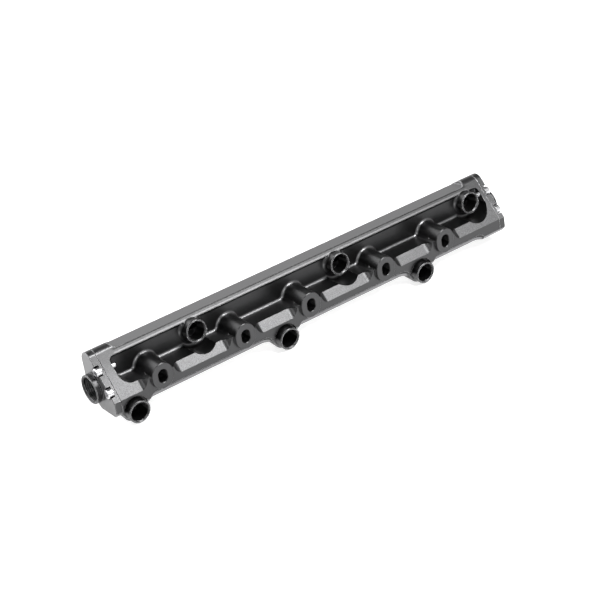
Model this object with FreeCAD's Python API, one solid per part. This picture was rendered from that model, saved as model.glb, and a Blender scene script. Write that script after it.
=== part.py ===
import FreeCAD, Part
import math
import os

# Fuel rail for a staggered narrow-angle six: a machined body, two end caps, their screws and seals.
# X runs along the rail with 0 at mid-length, and +Z is up.
# The mounting faces of the bosses lie in the plane Y = 0 and look along -Y,
# so everything behind those faces has a positive Y. All sizes are in millimetres.

# Overall sizes
cap_thickness = 5.4
back_y = 38.6                # rear face of the section
bottom_z = -17.0

# Section: upright band, leaning front face, rounded top and chamfered lower back
band_y = 2.5                 # the band lies this far behind the boss faces
band_top_z = -5.0            # here the band turns into the leaning face
lean_angle = 40.0            # lean of the front face from the vertical
top_radius = 7.5
nose_z = -13.5               # lower end of the upright band where no cove is cut
nose_chamfer = 3.0           # depth of the nose chamfer along Y
rear_chamfer_z = -6.9
rear_chamfer_y = 23.5
edge_break = 0.4
seam_break = 0.2

# Injector sockets: a lower and an upper row, staggered by one pitch
socket_pitch = 65.0
sockets_per_row = 3
first_socket_gap = 15.9      # from the left end of the rail to the first lower socket
last_socket_gap = 22.1       # from the last upper socket to the right end of the rail
socket_bore = 6.8
socket_wall = 1.8
lower_socket_depth = 14.5
upper_socket_depth = 12.0     # its end opens into the upper gallery
socket_lead_in = 0.8
rim_break = 0.5
lower_rim_y = -2.0           # the lower rims stand in front of the boss faces
lower_rim_z = -17.2
upper_rim_y = 15.4
upper_rim_z = 11.9
row_splay = 4.0              # the lower sockets dip and the upper ones rise by this angle
collar_radius = 10.0         # thicker collar where a lower socket joins the body
collar_front_y = 5.8
collar_rear_y = 16.0
spotface_radius = 10.2       # cut round the tube of a lower socket, as deep as the collar's front

# Mounting bosses with upright slots
first_boss_gap = 23.8        # from the first lower socket to the first boss
boss_long_step = 71.0
boss_count = 5
boss_radius = 8.6
boss_stretch = 1.4           # half the distance between the two centres of the oval
slot_width = 7.2
slot_height = 10.0

# Pocket milled into the leaning face
pocket_left_gap = 12.4       # from the left end of the rail
pocket_right_gap = 8.6       # from the right end of the rail
pocket_low_z = 1.3
pocket_high_z = 19.5
pocket_floor_y = 23.5
pocket_low_corner = 8.0
pocket_cutter = 4.0          # radius that the cutter leaves in the other corners
floor_fillet = 2.4

# Clearance round each upper socket
socket_relief_radius = 14.2
socket_relief_z = 12.2

# Webs beside each boss, level with the band, that a ball-nosed cutter leaves on the leaning face
web_half = 17.0              # from a boss's axis to where its webs have run out
web_cutter = 6.7

# Cove under the band, cut by a ball-nosed cutter between the lower sockets
cove_radius = 6.7
cove_socket_gap = 11.6       # from a lower socket's axis to the end of a cove
cove_right_gap = 21.4        # from the right end of the rail to the end of the last cove

# Milled flat along the rounded top
flat_z = 22.1
flat_left_gap = 17.9
flat_right_gap = 18.1
flat_cutter = 6.3

# Fuel ports
port_y = 26.3
port_z = -0.5
port_radius = 11.0
port_length = 5.0            # how far a port stands out from its cap
port_neck_radius = 10.3
port_neck_length = 1.3
port_thread_bore = 8.7       # minor radius of the port thread
port_thread_depth = 7.5
port_mouth_chamfer = 1.2
port_passage_bore = 2.6

# Fuel galleries, one for each row, and the sealed chamber in each cap that joins them
gallery_bore = 3.2
upper_gallery_y = 29.8
upper_gallery_z = 10.6
lower_gallery_y = 20.0
lower_gallery_z = -9.8
feed_bore = 2.0
chamber_radius = 3.4
chamber_depth = 1.8
seal_offset = 5.0            # from the chamber's centre line to the middle of the seal
seal_width = 1.4
seal_depth = 1.3             # of its groove, which the squeezed seal fills
seal_side_gap = 0.1

# Cap screws, M4 with socket heads, in notches open to the leaning face
lower_screw_station = 8.5    # up the leaning face from the band's top edge
upper_screw_station = 25.3
screw_inset = 2.6            # from the leaning face to a screw's axis
screw_radius = 2.0
left_screw_length = 12.0
right_screw_length = 8.0
screw_head_radius = 3.5
screw_head_height = 4.0
screw_edge_break = 0.35
screw_key_flats = 3.0
screw_key_depth = 2.0
screw_hole_gap = 0.25
tapped_hole_gap = 0.05
tapped_hole_extra = 1.0
notch_width = 8.3
notch_depth = 3.4

lean = math.radians(lean_angle)
splay = math.radians(row_splay)
rail_length = first_socket_gap + (2 * sockets_per_row - 1) * socket_pitch + last_socket_gap
left_end = -rail_length / 2
right_end = rail_length / 2
left_seam = left_end + cap_thickness
right_seam = right_end - cap_thickness
socket_radius = socket_bore + socket_wall
first_lower_x = left_end + first_socket_gap
lower_x = [first_lower_x + 2 * socket_pitch * i for i in range(sockets_per_row)]
upper_x = [x + socket_pitch for x in lower_x]
boss_x = [first_lower_x + first_boss_gap + 2 * socket_pitch * (i // 2) + boss_long_step * (i % 2)
          for i in range(boss_count)]
screw_stations = {"lower": lower_screw_station, "upper": upper_screw_station}
reach = 100.0                 # longer than any cut through the section
overlap = 1.0                 # how far joined shapes and cuts run on into or past each other


def vec(x, y, z):
    return FreeCAD.Vector(x, y, z)


X_AXIS = vec(1, 0, 0)
Y_AXIS = vec(0, 1, 0)
Z_AXIS = vec(0, 0, 1)
rims = {"lower": (lower_rim_y, lower_rim_z), "upper": (upper_rim_y, upper_rim_z)}
depths = {"lower": lower_socket_depth, "upper": upper_socket_depth}
mouths = {
    "lower": vec(0, -math.cos(splay), -math.sin(splay)),
    "upper": vec(0, -math.cos(splay), math.sin(splay)),
}


def leaning_point(along, inset):
    """A point of the section: up the leaning face from the band's top edge, and inset from the face."""
    y = band_y + along * math.sin(lean) + inset * math.cos(lean)
    z = band_top_z + along * math.cos(lean) - inset * math.sin(lean)
    return y, z


def rod(radius, start, direction, length):
    return Part.makeCylinder(radius, length, start, direction)


def edges_in_plane(solid, axis, value):
    """The edges of a solid that lie wholly in one plane across the X or the Y axis."""
    low, high = axis + "Min", axis + "Max"
    return [edge for edge in solid.Edges
            if abs(getattr(edge.BoundBox, low) - value) < 1e-4
            and abs(getattr(edge.BoundBox, high) - value) < 1e-4]


def section_face(x):
    """The rail's section at one X: band, leaning face, rounded top, back, rear chamfer and underside."""
    centre_y = back_y - top_radius
    centre_z = band_top_z + ((centre_y - band_y) * math.cos(lean) - top_radius) / math.sin(lean)
    start = vec(x, centre_y - top_radius * math.cos(lean), centre_z + top_radius * math.sin(lean))
    half_turn = (math.pi - lean) / 2
    middle = vec(x, centre_y + top_radius * math.cos(half_turn), centre_z + top_radius * math.sin(half_turn))
    end = vec(x, back_y, centre_z)
    corners = [
        end,
        vec(x, back_y, rear_chamfer_z),
        vec(x, rear_chamfer_y, bottom_z),
        vec(x, band_y + nose_chamfer, bottom_z),
        vec(x, band_y, nose_z),
        vec(x, band_y, band_top_z),
        start,
    ]
    top = Part.Arc(start, middle, end).toShape()
    return Part.Face(Part.Wire([top] + Part.makePolygon(corners).Edges))


def along_y(face, front_y, rear_y):
    """Extrudes a face drawn in the plane Y = 0 between two depths."""
    solid = face.extrude(Y_AXIS * (rear_y - front_y))
    solid.translate(Y_AXIS * front_y)
    return solid


def rectangle(x_low, x_high, z_low, z_high):
    """A flat face in the plane Y = 0."""
    corners = [(x_low, z_low), (x_high, z_low), (x_high, z_high), (x_low, z_high), (x_low, z_low)]
    return Part.Face(Part.makePolygon([vec(x, 0, z) for x, z in corners]))


def disc(x, z, radius):
    return Part.Face(Part.Wire(Part.makeCircle(radius, vec(x, 0, z), Y_AXIS)))


def upright_oval(x, half_width, half_gap):
    """An upright oval about Z = 0: two half circles half_gap above and below, and straight sides."""
    left_top = vec(x - half_width, 0, half_gap)
    right_top = vec(x + half_width, 0, half_gap)
    left_low = vec(x - half_width, 0, -half_gap)
    right_low = vec(x + half_width, 0, -half_gap)
    upper_arc = Part.Arc(left_top, vec(x, 0, half_gap + half_width), right_top).toShape()
    lower_arc = Part.Arc(right_low, vec(x, 0, -half_gap - half_width), left_low).toShape()
    right_side = Part.makeLine(right_top, right_low)
    left_side = Part.makeLine(left_low, left_top)
    return Part.Face(Part.Wire([upper_arc, right_side, lower_arc, left_side]))


def milled_outline(region, cutter):
    """What a cutter of this radius clears inside a region: the region shrunk and grown again."""
    return region.makeOffset2D(-cutter).makeOffset2D(cutter).Faces[0]


def socket_rod(row, x, radius, from_depth, to_depth):
    """A cylinder on a socket's axis, between two depths behind its rim."""
    rim = vec(x, *rims[row])
    axis = mouths[row]
    return rod(radius, rim - axis * from_depth, axis * -1, to_depth - from_depth)


def socket_tube(row, x, depth):
    """A socket's outer tube with a broken rim."""
    rim = vec(x, *rims[row])
    edge = Part.makeCone(socket_radius - rim_break, socket_radius, rim_break, rim, mouths[row] * -1)
    return edge.fuse(socket_rod(row, x, socket_radius, rim_break, depth))


def socket_cut(row, x):
    """An injector bore with the lead-in at its mouth."""
    rim = vec(x, *rims[row])
    flare = Part.makeCone(socket_bore + socket_lead_in, socket_bore, socket_lead_in, rim, mouths[row] * -1)
    return flare.fuse(socket_rod(row, x, socket_bore, 0, depths[row]))


def slot_cut(x):
    """An upright mounting slot through the whole body."""
    return along_y(upright_oval(x, slot_width / 2, (slot_height - slot_width) / 2), 0, reach)


def boss(x):
    """A mounting boss from its face back into the floor of the pocket, with its edges broken."""
    solid = along_y(upright_oval(x, boss_radius, boss_stretch), 0, pocket_floor_y + overlap)
    solid = solid.cut(slot_cut(x))
    return solid.makeChamfer(edge_break, edges_in_plane(solid, "Y", 0))


def joined_outline(faces, holes):
    """Joins overlapping faces of the plane Y = 0 into one face and takes the holes away from it."""
    slab = along_y(faces[0], 0, 1).fuse([along_y(face, 0, 1) for face in faces[1:]])
    slab = slab.cut([along_y(hole, 0, 1) for hole in holes]).removeSplitter()
    return [face for face in slab.Faces if abs(face.BoundBox.YMax) < 1e-6][0]


def pocket_plain_face():
    """The pocket's outline without its bays, up to the last upper socket, with its round lower left corner."""
    left = left_end + pocket_left_gap
    right = upper_x[-1]
    arc_start = vec(left, 0, pocket_low_z + pocket_low_corner)
    arc_end = vec(left + pocket_low_corner, 0, pocket_low_z)
    inset = pocket_low_corner * (1 - math.sqrt(0.5))
    arc_middle = vec(left + inset, 0, pocket_low_z + inset)
    corners = [arc_end, vec(right, 0, pocket_low_z), vec(right, 0, pocket_high_z),
               vec(left, 0, pocket_high_z), arc_start]
    arc = Part.Arc(arc_start, arc_middle, arc_end).toShape()
    return Part.Face(Part.Wire([arc] + Part.makePolygon(corners).Edges))


def pocket_tool():
    """The long pocket: an outline with a bay round each upper socket, filleted at its floor."""
    limits = rectangle(left_end, right_end - pocket_right_gap, pocket_low_z - reach, pocket_high_z)
    bays = [disc(x, socket_relief_z, socket_relief_radius).common(limits) for x in upper_x]
    bosses = [upright_oval(x, boss_radius, boss_stretch) for x in boss_x]
    region = joined_outline([pocket_plain_face()] + bays, bosses)
    tool = along_y(milled_outline(region, pocket_cutter), -reach, pocket_floor_y)
    tool = tool.cut([socket_rod("upper", x, socket_radius, 0, reach) for x in upper_x]).Solids[0]
    return tool.makeFillet(floor_fillet, edges_in_plane(tool, "Y", pocket_floor_y))


def web(x):
    """The webs of one boss: a wedge before the leaning face, hollowed at both ends by the cutter.

    The cutter's axis lies along the slope, one cutter radius in front of the leaning face.
    """
    slope = vec(0, math.sin(lean), math.cos(lean))
    outward = vec(0, -math.cos(lean), math.sin(lean))
    foot = vec(x - web_half, band_y, band_top_z)
    front = foot + Z_AXIS * (pocket_low_z - band_top_z + overlap)
    rear = foot + slope * ((pocket_low_z - band_top_z + overlap) / math.cos(lean))
    wedge = Part.Face(Part.makePolygon([foot, front, rear, foot])).extrude(X_AXIS * (2 * web_half))
    cuts = []
    for side in (-1, 1):
        centre = vec(x + side * web_half, band_y, band_top_z) + outward * web_cutter
        cuts.append(rod(web_cutter, centre - slope * reach, slope, 2 * reach))
    return wedge.cut(cuts)


def cove_tool(x_low, x_high):
    """A round-bottomed groove along the lower front edge, with the cutter's round end at each side."""
    start = vec(x_low + cove_radius, band_y, bottom_z)
    end = vec(x_high - cove_radius, band_y, bottom_z)
    ends = [Part.makeSphere(cove_radius, start), Part.makeSphere(cove_radius, end)]
    return rod(cove_radius, start, X_AXIS, end.x - start.x).fuse(ends)


def flat_tool():
    """A round-ended cut along the top, made by a cutter standing upright."""
    start = left_end + flat_left_gap + flat_cutter
    end = right_end - flat_right_gap - flat_cutter
    middle_y = back_y - top_radius
    tool = Part.makeBox(end - start, 2 * flat_cutter, reach, vec(start, middle_y - flat_cutter, flat_z))
    return tool.fuse([rod(flat_cutter, vec(x, middle_y, flat_z), Z_AXIS, reach) for x in (start, end)])


def rail_body():
    """The machined body between the two caps."""
    body = section_face(left_seam).extrude(X_AXIS * (right_seam - left_seam))
    ends = edges_in_plane(body, "X", left_seam) + edges_in_plane(body, "X", right_seam)
    body = body.makeChamfer(seam_break, ends)
    coves = []
    for i, x in enumerate(lower_x):
        last = i == sockets_per_row - 1
        x_high = right_end - cove_right_gap if last else lower_x[i + 1] - cove_socket_gap
        coves.append(cove_tool(x + cove_socket_gap, x_high))
    body = body.cut(coves)
    body = body.fuse([web(x) for x in boss_x])
    body = body.cut(pocket_tool())
    body = body.cut(flat_tool())
    collar_front = (collar_front_y - lower_rim_y) / math.cos(splay)
    collar_rear = (collar_rear_y - lower_rim_y) / math.cos(splay)
    body = body.cut([socket_rod("lower", x, spotface_radius, 0, collar_front) for x in lower_x])

    # Bosses, collars and socket tubes
    added = [boss(x) for x in boss_x]
    added += [socket_rod("lower", x, collar_radius, collar_front, collar_rear) for x in lower_x]
    added += [socket_tube("lower", x, collar_rear - overlap) for x in lower_x]
    added += [socket_tube("upper", x, pocket_floor_y + overlap - upper_rim_y) for x in upper_x]
    body = body.fuse(added)

    # Mounting slots, injector bores, fuel drillings and tapped holes
    cuts = [slot_cut(x) for x in boss_x]
    cuts += [socket_cut("lower", x) for x in lower_x] + [socket_cut("upper", x) for x in upper_x]
    for x in lower_x:
        start = vec(x, *rims["lower"]) - mouths["lower"] * (lower_socket_depth - feed_bore)
        feed = vec(x, lower_gallery_y, lower_gallery_z) - start
        cuts.append(rod(feed_bore, start, feed, feed.Length))
    for y, z in ((upper_gallery_y, upper_gallery_z), (lower_gallery_y, lower_gallery_z)):
        cuts.append(rod(gallery_bore, vec(left_seam - overlap, y, z), X_AXIS, right_seam - left_seam + 2 * overlap))
    for seam, side, screw_length in ((left_seam, 1, left_screw_length), (right_seam, -1, right_screw_length)):
        depth = screw_length - (cap_thickness - notch_depth) + tapped_hole_extra
        for along in screw_stations.values():
            start = vec(seam - side * overlap, *leaning_point(along, screw_inset))
            cuts.append(rod(screw_radius + tapped_hole_gap, start, X_AXIS * side, depth + overlap))
    return body.cut(cuts).removeSplitter()


def chamber_face(x, offset):
    """An oval round the line between the two gallery axes, at one offset from it."""
    low = vec(x, lower_gallery_y, lower_gallery_z)
    high = vec(x, upper_gallery_y, upper_gallery_z)
    along = (high - low).normalize()
    across = X_AXIS.cross(along)
    high_arc = Part.Arc(high + across * offset, high + along * offset, high - across * offset).toShape()
    low_arc = Part.Arc(low - across * offset, low - along * offset, low + across * offset).toShape()
    first_side = Part.makeLine(high - across * offset, low - across * offset)
    second_side = Part.makeLine(low + across * offset, high + across * offset)
    return Part.Face(Part.Wire([high_arc, first_side, low_arc, second_side]))


def oval_ring(x, half_width, length):
    """A ring round the chamber, on the middle line of the seal and half_width to each side of it."""
    outer = chamber_face(x, seal_offset + half_width)
    inner = chamber_face(x, seal_offset - half_width)
    return outer.cut(inner).extrude(length)


def notch_tool(end, side, along):
    """The notch for a screw head: round at its bottom and open to the leaning face."""
    half = notch_width / 2
    outer_x = end - side * overlap
    deep_y, deep_z = leaning_point(along, screw_inset)
    corners = [
        leaning_point(along - half, screw_inset),
        leaning_point(along - half, -half),
        leaning_point(along + half, -half),
        leaning_point(along + half, screw_inset),
    ]
    outline = Part.makePolygon([vec(outer_x, y, z) for y, z in corners + corners[:1]])
    opening = Part.Face(outline).extrude(X_AXIS * (side * (notch_depth + overlap)))
    return opening.fuse(rod(half, vec(outer_x, deep_y, deep_z), X_AXIS * side, notch_depth + overlap))


def end_cap(end, side):
    """One cap: end is the X of its outer face, and side is the direction from there into the rail."""
    inward = X_AXIS * side
    seam = end + side * cap_thickness
    mouth = end - side * port_length
    cap = section_face(end).extrude(inward * cap_thickness)
    cap = cap.makeChamfer(edge_break, edges_in_plane(cap, "X", end))
    cap = cap.makeChamfer(seam_break, edges_in_plane(cap, "X", seam))
    neck_start = vec(end + side * overlap, port_y, port_z)
    neck = rod(port_neck_radius, neck_start, inward * -1, port_neck_length + overlap)
    rim = rod(port_radius, vec(mouth, port_y, port_z), inward, port_length - port_neck_length)
    rim = rim.makeChamfer(edge_break, edges_in_plane(rim, "X", mouth))
    cap = cap.fuse([neck, rim])
    flare = port_thread_bore + port_mouth_chamfer
    passage = port_length + cap_thickness - chamber_depth
    cuts = [
        rod(port_thread_bore, vec(mouth, port_y, port_z), inward, port_thread_depth),
        Part.makeCone(flare, port_thread_bore, port_mouth_chamfer, vec(mouth, port_y, port_z), inward),
        rod(port_passage_bore, vec(mouth, port_y, port_z), inward, passage),
        chamber_face(seam - side * chamber_depth, chamber_radius).extrude(inward * (chamber_depth + overlap)),
    ]
    groove_half = seal_width / 2 + seal_side_gap
    cuts.append(oval_ring(seam - side * seal_depth, groove_half, inward * (seal_depth + overlap)))
    for along in screw_stations.values():
        cuts.append(notch_tool(end, side, along))
        y, z = leaning_point(along, screw_inset)
        cuts.append(rod(screw_radius + screw_hole_gap, vec(end, y, z), inward, cap_thickness + overlap))
    return cap.cut(cuts).removeSplitter()


def cap_screw(end, side, along, length):
    """A socket head screw whose head bears on the floor of its notch."""
    y, z = leaning_point(along, screw_inset)
    inward = X_AXIS * side
    seat = end + side * notch_depth
    top = seat - side * screw_head_height
    tip = seat + side * length
    head = rod(screw_head_radius, vec(top, y, z), inward, screw_head_height)
    head = head.makeChamfer(screw_edge_break, edges_in_plane(head, "X", top))
    shank = rod(screw_radius, vec(seat, y, z), inward, length)
    shank = shank.makeChamfer(screw_edge_break, edges_in_plane(shank, "X", tip))
    corner = screw_key_flats / math.sqrt(3)
    turns = [math.radians(60 * i) for i in range(7)]
    hexagon = [vec(top, y + corner * math.cos(turn), z + corner * math.sin(turn)) for turn in turns]
    key = Part.Face(Part.makePolygon(hexagon)).extrude(inward * screw_key_depth)
    return head.fuse(shank).cut(key).removeSplitter()


def cap_seal(seam, side):
    """The seal of one cap, squeezed between its groove and the body."""
    return oval_ring(seam - side * seal_depth, seal_width / 2, X_AXIS * (side * seal_depth))


def save(name, shape):
    shape.exportStep(os.path.join("parts", name + ".step"))


os.makedirs("parts", exist_ok=True)
save("rail_body", rail_body())
caps = (("left", left_end, 1, left_screw_length), ("right", right_end, -1, right_screw_length))
for name, end, side, screw_length in caps:
    save(name + "_end_cap", end_cap(end, side))
    save(name + "_seal", cap_seal(end + side * cap_thickness, side))
    for place, along in screw_stations.items():
        save(name + "_" + place + "_screw", cap_screw(end, side, along, screw_length))
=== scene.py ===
import math

import bpy
import numpy as np
from mathutils import Matrix, Vector


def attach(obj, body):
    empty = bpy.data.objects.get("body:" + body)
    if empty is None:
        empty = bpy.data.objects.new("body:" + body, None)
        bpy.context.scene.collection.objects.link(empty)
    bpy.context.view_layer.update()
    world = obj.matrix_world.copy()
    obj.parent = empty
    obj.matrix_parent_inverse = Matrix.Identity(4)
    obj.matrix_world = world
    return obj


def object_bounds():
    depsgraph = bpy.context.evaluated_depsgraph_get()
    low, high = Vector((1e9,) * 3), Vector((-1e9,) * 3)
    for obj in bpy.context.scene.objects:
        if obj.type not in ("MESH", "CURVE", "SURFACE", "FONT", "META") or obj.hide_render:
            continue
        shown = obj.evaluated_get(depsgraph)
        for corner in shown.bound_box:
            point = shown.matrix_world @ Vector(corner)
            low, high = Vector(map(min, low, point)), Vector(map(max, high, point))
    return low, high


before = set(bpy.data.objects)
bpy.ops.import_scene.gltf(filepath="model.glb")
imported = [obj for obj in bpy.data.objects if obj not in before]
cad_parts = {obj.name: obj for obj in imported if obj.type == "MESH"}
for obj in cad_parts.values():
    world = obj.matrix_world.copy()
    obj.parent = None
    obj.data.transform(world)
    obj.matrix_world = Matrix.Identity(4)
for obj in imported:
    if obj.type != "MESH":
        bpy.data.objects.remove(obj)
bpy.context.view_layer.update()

# The rail body
# One long black anodised aluminium piece, milled from bar: sockets, bosses, pocket and coves are cut in it.
# The leaning face is blasted and grainy; everything else shows fine cutter marks. It keeps its CAD mesh.

MM = 0.001
HALF_LENGTH = 181.5 * MM
LEAN = math.radians(40.0)                     # of the blasted front face, from upright
BAND_Y, BAND_TOP_Z = 2.5 * MM, -5.0 * MM      # the line where that face starts
LEANING_WAY = (0.0, -math.cos(LEAN), math.sin(LEAN))
LEANING_FACE_AT = BAND_TOP_Z * math.sin(LEAN) - BAND_Y * math.cos(LEAN)
UPWARDS, FORWARDS = (0.0, 0.0, 1.0), (0.0, -1.0, 0.0)
UPPER_RIM_Y = 15.4 * MM                       # of the upper sockets
FLAT_CUTTER = (157.2 * MM, 31.1 * MM, 0.0)    # where the cutter of the top flat stopped, at each end

# Areas of the finish and of painted light. Each is a product of soft steps, given as what is measured, where
# the area has faded out and where it is full. Measured in mm are y, z, along (the distance from mid-length),
# off_upper_rims (from the plane of those rims) and from_cutter (from where the flat's cutter stopped).
# Sideways and forwards are the sizes of the normal's X and Y parts, and facing_y is its Y part.
AREAS = {
    "above_pocket": (("z", 19.2, 19.45), ("along", 165.0, 162.0), ("y", 22.6, 22.9)),
    # The crown's paler grey is a painted sheen of the backdrop it faces.
    "crown": (("z", 19.5, 20.5), ("y", 24.5, 25.0)),
    "band_and_bosses": (("y", 3.0, 2.7),),
    # The coves' pale grey is a painted reflection of the white floor beneath.
    "coves": (("z", -14.5, -15.0), ("facing_y", -0.3, -0.6), ("y", 2.7, 3.0), ("y", 9.4, 9.25)),
    # The fillets' paler grey is a painted highlight along them.
    "fillets": (("y", 20.8, 21.2), ("y", 23.5, 23.3), ("z", 14.5, 12.5),
                ("forwards", 0.15, 0.35), ("sideways", 0.95, 0.9)),
    "endways": (("sideways", 0.97, 0.995),),
    "cap_faces": (("along", 181.1, 181.3), ("along", 181.9, 181.7)),
    "near_flat_ends": (("along", 152.0, 155.0),),
    "lower_rims": (("y", -0.6, -1.0),),
    "upper_rims": (("off_upper_rims", 1.3, 1.0),),
    "band_foot": (("z", -8.5, -9.0), ("y", 3.6, 3.2)),
    # Painted highlight: pale crescent lines round the ends of the top flat.
    "crescent_highlights": (("from_cutter", 7.4, 7.0), ("z", 22.2, 22.3), ("along", 158.0, 159.0)),
    # Painted shade: the blasted face darkens towards its top.
    "shade_up_the_face": (("z", 0.0, 22.0),),
    # Painted highlight: a pale line along the pocket's top rim.
    "rim_highlight_line": (("z", 20.5, 19.9),),
    # Painted shade: a dark line in the crease below the top flat.
    "crease": (("z", 21.1, 21.6),),
}
OFF_FACE = (0.18 * MM, 0.02 * MM)             # off the leaning face, where blasting has faded out and is full
FACING_WITHIN = 0.01                          # of the cosine, for a flat face
LEANING_WITHIN = 0.012
EDGE_BEND = (0.005, 0.08)                     # one minus the cosine, where an edge starts to show and is full

# Base colours, as grey levels. The dye is near black. Edges are paler, partly as wear and partly as painted
# highlight, and the greys of the fillets, coves, crown, top flat and parts of the blasted face hold painted
# light.
PLAIN_GREYS = (0.031, 0.036)
# Painted light: the fillets' grey is a painted highlight, the coves' a painted reflection of the floor, and
# the crown's a painted sheen.
FILLET_HIGHLIGHT_GREY, COVE_REFLECTION_GREY, CROWN_SHEEN_GREY = 0.09, 0.20, 0.085
# The top flat's paler grey is partly its matt milled finish and partly a painted sheen of light from above.
BAND_GREY, TOP_FLAT_TONE_AND_SHEEN_GREY = 0.060, 0.120
ENDWAYS_GREY = 0.07                           # faces that look along the rail
BLASTED_GREYS = (0.050, 0.120)
# Painted light on the blasted face: the shade at its top, the highlight line at the pocket's rim and the
# shade in the crease.
FACE_TOP_SHADE_GREY, RIM_HIGHLIGHT_GREY, CREASE_SHADE_GREY = 0.02, 0.11, 0.006
# Pale edges: partly wear, partly painted highlight.
EDGE_WEAR_AND_HIGHLIGHT_GREY = 0.5
# Strengths: of the painted shade at the blasted face's top and in the crease, and of the pale edges and
# crescent lines, which are wear and painted highlight.
FACE_TOP_SHADE_SHARE, CREASE_SHADE_SHARE, EDGE_WEAR_AND_HIGHLIGHT_SHARE, CRESCENT_HIGHLIGHT_SHARE = 0.62, 0.9, 0.8, 0.35

GRAIN_PER_METRE, CLOUDS_PER_METRE, MARKS_PER_METRE = 1900.0, 60.0, 2600.0
MARKS_DRAWN_OUT = 40.0                        # cutter marks are this much longer than wide
MARKS_ROUGHNESS, MATT_ROUGHNESS = (0.28, 0.36), 0.5
MARKS_HEIGHT = 0.12                           # share of the grain's height
GRAIN_HEIGHT, BUMP_STRENGTH = 0.05 * MM, 0.35
EDGE_RADIUS, CREASE_RADIUS = 0.35 * MM, 1.5 * MM
PLAIN_METALLIC, ENDWAYS_METALLIC, MATT_METALLIC, EDGE_METALLIC = 0.95, 0.7, 0.6, 0.4


class Nodes:
    """Builds one node tree: each method adds a node, links its inputs and returns an output socket."""

    def __init__(self, tree):
        self.tree = tree

    def connect(self, node, inputs):
        """Inputs is a dict or a sequence of pairs: socket name or index, and a value or another output."""
        for key, value in dict(inputs).items():
            if isinstance(value, bpy.types.NodeSocket):
                self.tree.links.new(value, node.inputs[key])
            else:
                node.inputs[key].default_value = value

    def add(self, kind, inputs=(), output=0, **settings):
        node = self.tree.nodes.new(kind)
        for name, value in settings.items():
            setattr(node, name, value)
        self.connect(node, inputs)
        return node.outputs[output]

    def split(self, vector):
        """The X, Y and Z parts of a vector."""
        return tuple(self.add("ShaderNodeSeparateXYZ", {0: vector}).node.outputs)

    def math(self, operation, *values):
        return self.add("ShaderNodeMath", enumerate(values), operation=operation)

    def joined(self, operation, first, *others):
        """One operation along a row of values: their product, or the greatest of them."""
        for value in others:
            first = self.math(operation, first, value)
        return first

    def product(self, *values):
        return self.joined("MULTIPLY", *values)

    def greatest(self, *values):
        return self.joined("MAXIMUM", *values)

    def vector(self, operation, *values):
        return self.add("ShaderNodeVectorMath", enumerate(values), "Vector", operation=operation)

    def dot(self, first, second):
        return self.add("ShaderNodeVectorMath", {0: first, 1: second}, "Value", operation="DOT_PRODUCT")

    def length(self, vector):
        return self.add("ShaderNodeVectorMath", {0: vector}, "Value", operation="LENGTH")

    def steps(self, value, low, high, to_low=0.0, to_high=1.0):
        """A smooth step: to_low up to the value low, to_high from high on, and a soft curve between."""
        inputs = {0: value, 1: low, 2: high, 3: to_low, 4: to_high}
        return self.add("ShaderNodeMapRange", inputs, interpolation_type="SMOOTHSTEP")

    def fade(self, value, empty, full):
        """A smooth step from 0 at the value empty to 1 at the value full, whichever of them is greater."""
        if empty > full:
            return self.steps(value, full, empty, 1.0, 0.0)
        return self.steps(value, empty, full)

    def facing(self, normal, direction, within):
        """1 where the surface looks along the direction, by its cosine, fading to 0 at one less within."""
        return self.fade(self.dot(normal, direction), 1 - within, 1 - within / 4)

    def noise(self, vector, scale, detail=2.0, roughness=0.5):
        """Noise from 0 to 1 about a mean of one half; scale is in features per metre."""
        inputs = {"Vector": vector, "Scale": scale, "Detail": detail, "Roughness": roughness}
        return self.add("ShaderNodeTexNoise", inputs)

    def mix(self, factor, first, second):
        """A blend of two colours: the first where the factor is 0, the second where it is 1."""
        return self.add("ShaderNodeMix", {0: factor, 6: first, 7: second}, 2, data_type="RGBA")

    def blend(self, factor, first, second):
        """A blend of two numbers."""
        return self.add("ShaderNodeMix", {0: factor, 2: first, 3: second}, 0, data_type="FLOAT")

    def blend_vectors(self, factor, first, second):
        return self.add("ShaderNodeMix", {0: factor, 4: first, 5: second}, 1, data_type="VECTOR")

    def place(self):
        """The point of the surface in the object's own coordinates, which are the frame's."""
        return self.add("ShaderNodeTexCoord", output="Object")

    def round_edge(self, radius, samples):
        """The normal as it would be if every edge were rounded by the radius."""
        return self.add("ShaderNodeBevel", {"Radius": radius}, samples=samples)

    def bump(self, height, normal, strength, distance):
        inputs = {"Strength": strength, "Distance": distance, "Height": height, "Normal": normal}
        return self.add("ShaderNodeBump", inputs)


def new_material(name):
    """An empty node material with its Principled shader; returns the material, the builder and the shader."""
    material = bpy.data.materials.new(name)
    material.use_nodes = True
    shader = material.node_tree.nodes["Principled BSDF"]
    return material, Nodes(material.node_tree), shader


def grey(level):
    """A grey with a trace of blue."""
    return (level, level, level * 1.02, 1.0)


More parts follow.
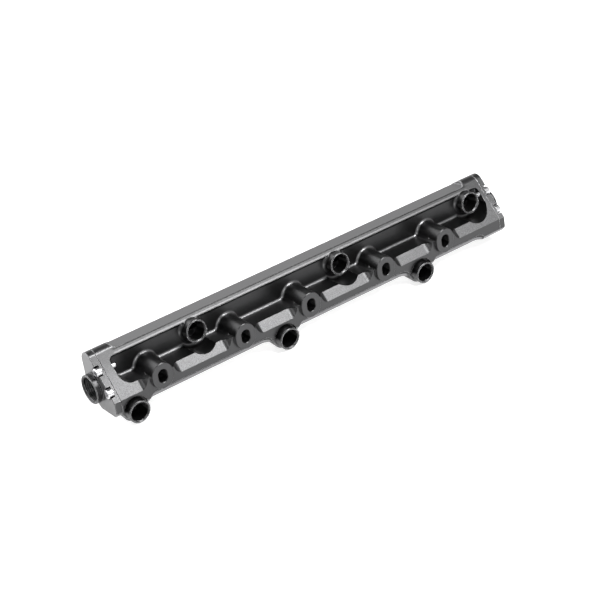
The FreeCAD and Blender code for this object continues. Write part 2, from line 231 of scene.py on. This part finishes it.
def anodised_material(name, endways_grey, is_cap):
    """Black anodised aluminium, for the body or for a cap.

    Colour starts from the dye's near black and turns, area by area, to that area's grey. Some of these greys
    are painted light: a highlight on the fillets, a reflection of the floor on the coves, a sheen on the
    crown and, in part, on the top flat.
    The blasted face has grain, which is noise of about half a millimetre, in colour and bump. Painted light
    lies on it:
    painted shade that darkens it with height, a painted highlight as a pale line at the pocket's rim, and
    painted shade as a dark crease below the top flat.
    The other faces carry cutter marks: noise drawn out along X by a factor of 40.
    Edges are found as one minus the cosine between the true normal and the normal of a rounded edge, and are
    painted pale, partly as wear and partly as painted highlight. A cap shows all of them, and the body only
    the ones that are named, with painted highlight crescent lines round the ends of the top flat.
    """
    material, nodes, shader = new_material(name)
    place = nodes.place()
    normal = nodes.add("ShaderNodeNewGeometry", output="Normal")
    x, y, z = nodes.split(place)
    normal_x, normal_y, _ = nodes.split(normal)
    along = nodes.math("ABSOLUTE", x)
    measures = {
        "along": (along, MM), "y": (y, MM), "z": (z, MM), "facing_y": (normal_y, 1.0),
        "sideways": (nodes.math("ABSOLUTE", normal_x), 1.0),
        "forwards": (nodes.math("ABSOLUTE", normal_y), 1.0),
    }

    def area(key):
        """The product of the soft steps that AREAS lists."""
        fades = []
        for what, empty, full in AREAS[key]:
            measure, unit = measures[what]
            fades.append(nodes.fade(measure, empty * unit, full * unit))
        return nodes.product(*fades)

    leaning = nodes.facing(normal, LEANING_WAY, LEANING_WITHIN)
    lift = nodes.math("SUBTRACT", nodes.dot(place, LEANING_WAY), LEANING_FACE_AT)
    blasted = nodes.product(leaning, nodes.fade(lift, *OFF_FACE))
    above_pocket = area("above_pocket")
    top_flat = nodes.product(nodes.facing(normal, UPWARDS, FACING_WITHIN), above_pocket)
    crown = area("crown")
    skimmed = nodes.product(nodes.facing(normal, FORWARDS, FACING_WITHIN), area("band_and_bosses"))
    endways = area("endways")
    if is_cap:
        endways = nodes.product(endways, area("cap_faces"))

    rounded = nodes.round_edge(EDGE_RADIUS, samples=6)
    edge = nodes.fade(nodes.math("SUBTRACT", 1.0, nodes.dot(normal, rounded)), *EDGE_BEND)
    if not is_cap:
        measures["off_upper_rims"] = (nodes.math("ABSOLUTE", nodes.math("SUBTRACT", y, UPPER_RIM_Y)), MM)
        folded = nodes.add("ShaderNodeCombineXYZ", {0: along, 1: y, 2: z})
        from_cutter = nodes.vector("SUBTRACT", folded, FLAT_CUTTER)
        from_cutter = nodes.length(nodes.vector("MULTIPLY", from_cutter, (1.0, 1.0, 0.0)))
        measures["from_cutter"] = (from_cutter, MM)
        flat_ends = nodes.product(crown, area("near_flat_ends"))
        # On the body only the named edges and the crescent lines are painted pale, as wear and painted
        # highlight.
        shown = nodes.greatest(flat_ends, area("band_foot"), area("lower_rims"), area("upper_rims"))
        edge = nodes.product(edge, shown)
        edge = nodes.greatest(edge, nodes.product(area("crescent_highlights"), CRESCENT_HIGHLIGHT_SHARE))

    grain = nodes.noise(place, GRAIN_PER_METRE, detail=3.0, roughness=0.7)
    clouds = nodes.noise(place, CLOUDS_PER_METRE, detail=3.0)
    drawn = nodes.vector("MULTIPLY", place, (1.0 / MARKS_DRAWN_OUT, 1.0, 1.0))
    marks = nodes.noise(drawn, MARKS_PER_METRE, roughness=0.6)

    plain = nodes.mix(nodes.fade(clouds, 0.3, 0.7), *map(grey, PLAIN_GREYS))
    # Among these greys, the fillets' is a painted highlight, the coves' a painted reflection of the floor,
    # the crown's a painted sheen and the top flat's partly a painted sheen.
    for mask, level in ((area("fillets"), FILLET_HIGHLIGHT_GREY), (skimmed, BAND_GREY), (area("coves"), COVE_REFLECTION_GREY),
                        (crown, CROWN_SHEEN_GREY), (top_flat, TOP_FLAT_TONE_AND_SHEEN_GREY), (endways, endways_grey)):
        plain = nodes.mix(mask, plain, grey(level))
    sandy = nodes.mix(nodes.fade(grain, 0.36, 0.64), *map(grey, BLASTED_GREYS))
    # Painted light on the blasted face: shade that grows with height, a highlight line at the pocket's rim
    # and shade in the crease below the top flat.
    for mask, level in ((nodes.product(area("shade_up_the_face"), FACE_TOP_SHADE_SHARE), FACE_TOP_SHADE_GREY),
                        (nodes.product(above_pocket, area("rim_highlight_line")), RIM_HIGHLIGHT_GREY),
                        (nodes.product(above_pocket, area("crease"), CREASE_SHADE_SHARE), CREASE_SHADE_GREY)):
        sandy = nodes.mix(mask, sandy, grey(level))
    colour = nodes.mix(blasted, plain, sandy)
    # Edges paler: partly wear, partly painted highlight.
    colour = nodes.mix(nodes.product(edge, EDGE_WEAR_AND_HIGHLIGHT_SHARE), colour, grey(EDGE_WEAR_AND_HIGHLIGHT_GREY))

    rough = nodes.steps(marks, 0.25, 0.75, *MARKS_ROUGHNESS)
    for mask in (top_flat, blasted):
        rough = nodes.blend(mask, rough, MATT_ROUGHNESS)
    metal = PLAIN_METALLIC
    for mask, level in ((top_flat, MATT_METALLIC), (endways, ENDWAYS_METALLIC),
                        (blasted, MATT_METALLIC), (edge, EDGE_METALLIC)):
        metal = nodes.blend(mask, metal, level)

    height = nodes.blend(blasted, nodes.product(marks, MARKS_HEIGHT), grain)
    turned = nodes.blend_vectors(above_pocket, rounded, nodes.round_edge(CREASE_RADIUS, samples=12))
    bump = nodes.bump(height, turned, BUMP_STRENGTH, GRAIN_HEIGHT)
    nodes.connect(shader, {"Base Color": colour, "Roughness": rough, "Metallic": metal, "Normal": bump})
    return material


def dress(node, material):
    """Gives a CAD node's object one material in all its slots."""
    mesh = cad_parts[node].data
    if not mesh.materials:
        mesh.materials.append(material)
    for i in range(len(mesh.materials)):
        mesh.materials[i] = material


dress("rail_body", anodised_material("black_anodised_body", ENDWAYS_GREY, is_cap=False))

# The two end caps
# Plates of the same black anodised aluminium, faced and bored, with a port turned on each outer face.
# Each is held to the body by two screws, with a fine seam between them. They keep their CAD meshes.

CAP_FACE_GREY = 0.135
cap_finish = anodised_material("black_anodised_cap", CAP_FACE_GREY, is_cap=True)
dress("left_end_cap", cap_finish)
dress("right_end_cap", cap_finish)

# The port threads
# The thread cut in each port, black as the cap. The CAD bore is smooth, so each thread is a low ridge
# that winds along the bore's wall and rises from nothing at both ends.

PORT_Y, PORT_Z = 26.3 * MM, -0.5 * MM
PORT_LENGTH = 5.0 * MM
PORT_BORE = 8.7 * MM
THREAD_PITCH = 1.5 * MM
THREAD_HEIGHT = 0.42 * MM
THREAD_START, THREAD_END = 1.5 * MM, 7.2 * MM           # depth below the port's mouth
RIDGE_ALONG = (-0.46, -0.10, 0.10, 0.46)                # the profile's corners, as shares of the pitch
RIDGE_UP = (-0.05, 1.0, 1.0, -0.05)                     # and of the height; its feet are in the wall
RISE_TURNS = 0.5
STEPS_PER_TURN = 72


def strip_mesh(name, points):
    """A mesh of quads between the neighbours of a grid of points.

    Each quad goes along its row first and then to the next row, so that a thread's faces look at its axis.
    """
    rows, columns = points.shape[:2]
    i, j = np.meshgrid(np.arange(rows - 1), np.arange(columns - 1), indexing="ij")
    first = i * columns + j
    quads = np.stack([first, first + 1, first + columns + 1, first + columns], axis=-1).reshape(-1, 4)
    mesh = bpy.data.meshes.new(name)
    mesh.from_pydata(points.reshape(-1, 3).tolist(), [], quads.tolist())
    mesh.polygons.foreach_set("use_smooth", np.ones(len(quads), dtype=bool))
    mesh.update()
    return mesh


def thread_points(mouth_x, inward):
    """The ridge of a thread: a flat-topped profile carried along a helix round the port's axis.

    Angle runs on evenly, depth is the start plus the pitch times the turns, and the ridge's height is the
    full height times a smooth rise over the first and last half turn.
    """
    turns = (THREAD_END - THREAD_START) / THREAD_PITCH
    turn = np.linspace(0, turns, int(turns * STEPS_PER_TURN) + 1)
    rise = np.clip(np.minimum(turn, turns - turn) / RISE_TURNS, 0, 1)
    rise = rise * rise * (3 - 2 * rise)
    along = np.array(RIDGE_ALONG) * THREAD_PITCH
    up = np.array(RIDGE_UP) * THREAD_HEIGHT
    depth = THREAD_START + turn[:, None] * THREAD_PITCH + along[None, :]
    radius = PORT_BORE - rise[:, None] * up[None, :]
    angle = 2 * math.pi * turn[:, None]
    points = np.empty(depth.shape + (3,))
    points[..., 0] = mouth_x + inward * depth
    points[..., 1] = PORT_Y + radius * np.cos(angle)
    points[..., 2] = PORT_Z + inward * radius * np.sin(angle)
    return points


def new_piece(name, mesh, material):
    """Links a mesh as one piece of the object, which stays with the rail."""
    piece = bpy.data.objects.new(name, mesh)
    bpy.context.scene.collection.objects.link(piece)
    mesh.materials.append(material)
    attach(piece, "root")


for side, sign in (("left", -1), ("right", 1)):
    mouth = sign * (HALF_LENGTH + PORT_LENGTH)
    mesh = strip_mesh(side + "_port_thread", thread_points(mouth, -sign))
    new_piece(side + "_port_thread", mesh, cap_finish)

# The cap seals
# A flat-sided oval ring of black rubber lies in a groove of each cap and shows nowhere once the cap is on.
# Fine powdery grain on a dull black; they keep their CAD meshes.

DUST_PER_METRE = 2500.0
RUBBER_GREYS = (0.018, 0.035)
RUBBER_ROUGHNESS = (0.6, 0.75)
seal_finish, nodes, shader = new_material("black_rubber")
dust = nodes.noise(nodes.place(), DUST_PER_METRE, detail=3.0, roughness=0.6)
nodes.connect(shader, {"Base Color": nodes.mix(dust, *map(grey, RUBBER_GREYS)),
                       "Roughness": nodes.steps(dust, 0.3, 0.7, *RUBBER_ROUGHNESS)})
dress("left_seal", seal_finish)
dress("right_seal", seal_finish)

# The cap screws
# Four bright stainless socket head screws hold the caps, their heads lying in the caps' notches.
# Turned steel with fine rings round the axis; they keep their CAD meshes.

RINGS_PER_METRE, STAIN_PER_METRE = 4000.0, 400.0
RINGS_ALONG_X = (1.0, 0.06, 0.06)
STEEL_GREYS = (0.50, 0.62)
STEEL_ROUGHNESS = (0.24, 0.38)
SCREW_EDGE_RADIUS = 0.2 * MM
RING_HEIGHT, RING_STRENGTH = 0.02 * MM, 0.15
steel, nodes, shader = new_material("stainless_steel")
place = nodes.place()
rings = nodes.noise(nodes.vector("MULTIPLY", place, RINGS_ALONG_X), RINGS_PER_METRE, roughness=0.6)
stain = nodes.noise(place, STAIN_PER_METRE)
relief = nodes.bump(rings, nodes.round_edge(SCREW_EDGE_RADIUS, samples=6), RING_STRENGTH, RING_HEIGHT)
nodes.connect(shader, {"Base Color": nodes.mix(stain, *map(grey, STEEL_GREYS)),
                       "Roughness": nodes.steps(rings, 0.3, 0.7, *STEEL_ROUGHNESS),
                       "Normal": relief, "Metallic": 1.0})
for side in ("left", "right"):
    for level in ("upper", "lower"):
        dress(side + "_" + level + "_screw", steel)

# The floor
# A plain sheet of white paper under the rail, which stands on the collars of its lower sockets.
# The camera and reflections see it glow, so that it shows white, and more where the lamps don't reach.

FLOOR_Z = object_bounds()[0][2]
FLOOR_SIDE = 6.0                              # half its width, in metres
FLOOR_GREY = 0.55
FLOOR_GLOW = (0.7, 1.0)                       # near the rail and far away
GLOW_GROWS = (0.7, 1.6)                       # between these distances, in metres
WHITE = (1.0, 1.0, 1.0, 1.0)
corners = [(-FLOOR_SIDE, -FLOOR_SIDE, FLOOR_Z), (FLOOR_SIDE, -FLOOR_SIDE, FLOOR_Z),
           (FLOOR_SIDE, FLOOR_SIDE, FLOOR_Z), (-FLOOR_SIDE, FLOOR_SIDE, FLOOR_Z)]
floor_mesh = bpy.data.meshes.new("floor")
floor_mesh.from_pydata(corners, [], [(0, 1, 2, 3)])
floor = bpy.data.objects.new("floor", floor_mesh)
bpy.context.scene.collection.objects.link(floor)
paper, nodes, shader = new_material("white_paper")
seen = nodes.greatest(nodes.add("ShaderNodeLightPath", output="Is Camera Ray"),
                      nodes.add("ShaderNodeLightPath", output="Is Glossy Ray"))
glow = nodes.steps(nodes.length(nodes.place()), *GLOW_GROWS, *FLOOR_GLOW)
nodes.connect(shader, {"Base Color": (FLOOR_GREY, FLOOR_GREY, FLOOR_GREY, 1.0), "Roughness": 0.9,
                       "Specular IOR Level": 0.1, "Emission Color": WHITE,
                       "Emission Strength": nodes.product(seen, glow)})
floor_mesh.materials.append(paper)

# Light
# A white world with a dark ceiling, which lights the rail less than reflections and the camera see it.
# Four soft lamps stand at the front right, the front left, the left and the back.

WORLD_LIGHT = 0.3
DARK_CEILING = 0.1
CEILING_FROM = (0.4, 0.7)                     # height of the direction, where it starts and is full
world = bpy.data.worlds.new("studio")
bpy.context.scene.world = world
world.use_nodes = True
nodes = Nodes(world.node_tree)
upward = nodes.split(nodes.add("ShaderNodeTexCoord", output="Generated"))[2]
wall = nodes.steps(upward, *CEILING_FROM, 1.0, DARK_CEILING)
reflected = nodes.add("ShaderNodeLightPath", output="Is Glossy Ray")
lit = nodes.product(wall, nodes.blend(reflected, WORLD_LIGHT, 1.0))
shown = nodes.blend(nodes.add("ShaderNodeLightPath", output="Is Camera Ray"), lit, 1.0)
nodes.connect(world.node_tree.nodes["Background"], {"Color": WHITE, "Strength": shown})


def soft_lamp(name, place, target, size, power):
    """A square area lamp that looks at a point; metres and watts."""
    data = bpy.data.lights.new(name, "AREA")
    data.shape = "SQUARE"
    data.size = size
    data.energy = power
    lamp = bpy.data.objects.new(name, data)
    lamp.location = place
    lamp.rotation_euler = (Vector(target) - Vector(place)).to_track_quat("-Z", "Y").to_euler()
    bpy.context.scene.collection.objects.link(lamp)


soft_lamp("key", place=(0.20, -0.40, 0.64), target=(-0.10, 0.0, 0.0), size=0.38, power=13.0)
soft_lamp("front_left", place=(-0.6, -0.72, 0.55), target=(-0.06, 0.0, 0.0), size=0.3, power=3.5)
soft_lamp("left", place=(-1.1, 0.4, 0.46), target=(-0.1, 0.0, 0.0), size=0.8, power=8.0)
soft_lamp("back", place=(-0.5, 1.2, 1.0), target=(0.0, 0.0, 0.0), size=1.4, power=24.0)

# The camera
# A long lens on the photograph's side, a little above the rail. Its axes and place were fitted to the
# rims of the sockets and the centres of the boss faces.

RIGHT = (0.7919, -0.5940, -0.1414)
UP = (0.3766, 0.2928, 0.8789)
BACK = (-0.4807, -0.7493, 0.4556)
CAMERA_AT = (-0.6120, -0.9214, 0.5683)
LENS, SENSOR = 101.95, 36.0                   # millimetres
camera_data = bpy.data.cameras.new("camera")
camera_data.sensor_fit = "HORIZONTAL"
camera_data.sensor_width = SENSOR
camera_data.lens = LENS
camera_data.clip_start = 0.05
camera_data.clip_end = 50.0
camera = bpy.data.objects.new("camera", camera_data)
turn = Matrix((RIGHT, UP, BACK)).transposed().to_4x4()
camera.matrix_world = Matrix.Translation(CAMERA_AT) @ turn
bpy.context.scene.collection.objects.link(camera)
bpy.context.scene.camera = camera
bpy.context.scene.view_settings.view_transform = "Standard"
